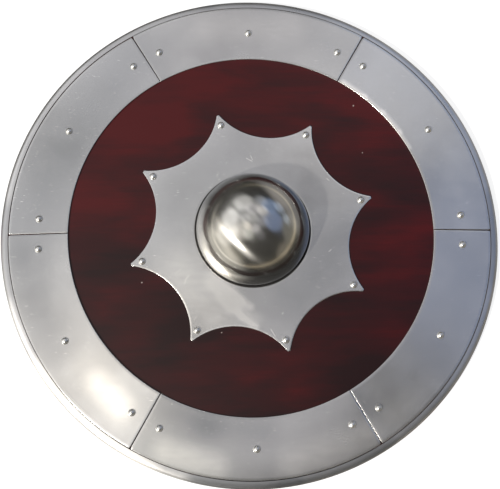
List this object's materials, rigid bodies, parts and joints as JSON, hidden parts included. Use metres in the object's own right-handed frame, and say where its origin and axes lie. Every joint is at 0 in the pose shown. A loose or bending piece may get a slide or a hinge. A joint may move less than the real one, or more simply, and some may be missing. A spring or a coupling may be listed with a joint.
{
  "type": "round bossed shield",
  "caption": "Round dished wooden shield with a hollow steel boss over the hand grip, a pointed steel plate round it, riveted steel border plates and a rolled edging.",
  "frame": {"origin": "on the shield's axis, level with the flat foot of its edging", "axes": "+Z along the shield's axis, out of its face through the boss; +Y is the top of the shield as the picture shows it"},
  "size_m": [0.61, 0.61, 0.0939],
  "materials": {
    "red_wood": "dark red stain under a satin varnish, with streaked grain",
    "plate_steel": "bare sheet steel with a fine brushed satin polish",
    "boss_steel": "polished bare steel with fine buffing marks",
    "rivet_steel": "bright domed heads",
    "grip_wood": "oiled dark wood, worn smooth in the middle"
  },
  "bodies": {
    "root": {"board": "red_wood", "rim_edging": "plate_steel", "star_plate": "plate_steel", "boss": "boss_steel", "grip": "grip_wood", "border_plate_1": "plate_steel", "border_plate_2": "plate_steel", "border_plate_3": "plate_steel", "border_plate_4": "plate_steel", "border_plate_5": "plate_steel", "border_plate_6": "plate_steel", "border_rivet_01": "rivet_steel", "border_rivet_02": "rivet_steel", "border_rivet_03": "rivet_steel", "border_rivet_04": "rivet_steel", "border_rivet_05": "rivet_steel", "border_rivet_06": "rivet_steel", "border_rivet_07": "rivet_steel", "border_rivet_08": "rivet_steel", "border_rivet_09": "rivet_steel", "border_rivet_10": "rivet_steel", "border_rivet_11": "rivet_steel", "border_rivet_12": "rivet_steel", "border_rivet_13": "rivet_steel", "border_rivet_14": "rivet_steel", "border_rivet_15": "rivet_steel", "border_rivet_16": "rivet_steel", "border_rivet_17": "rivet_steel", "border_rivet_18": "rivet_steel", "star_rivet_1": "rivet_steel", "star_rivet_2": "rivet_steel", "star_rivet_3": "rivet_steel", "star_rivet_4": "rivet_steel", "star_rivet_5": "rivet_steel", "star_rivet_6": "rivet_steel", "star_rivet_7": "rivet_steel", "star_rivet_8": "rivet_steel"}
  },
  "joints": []
}
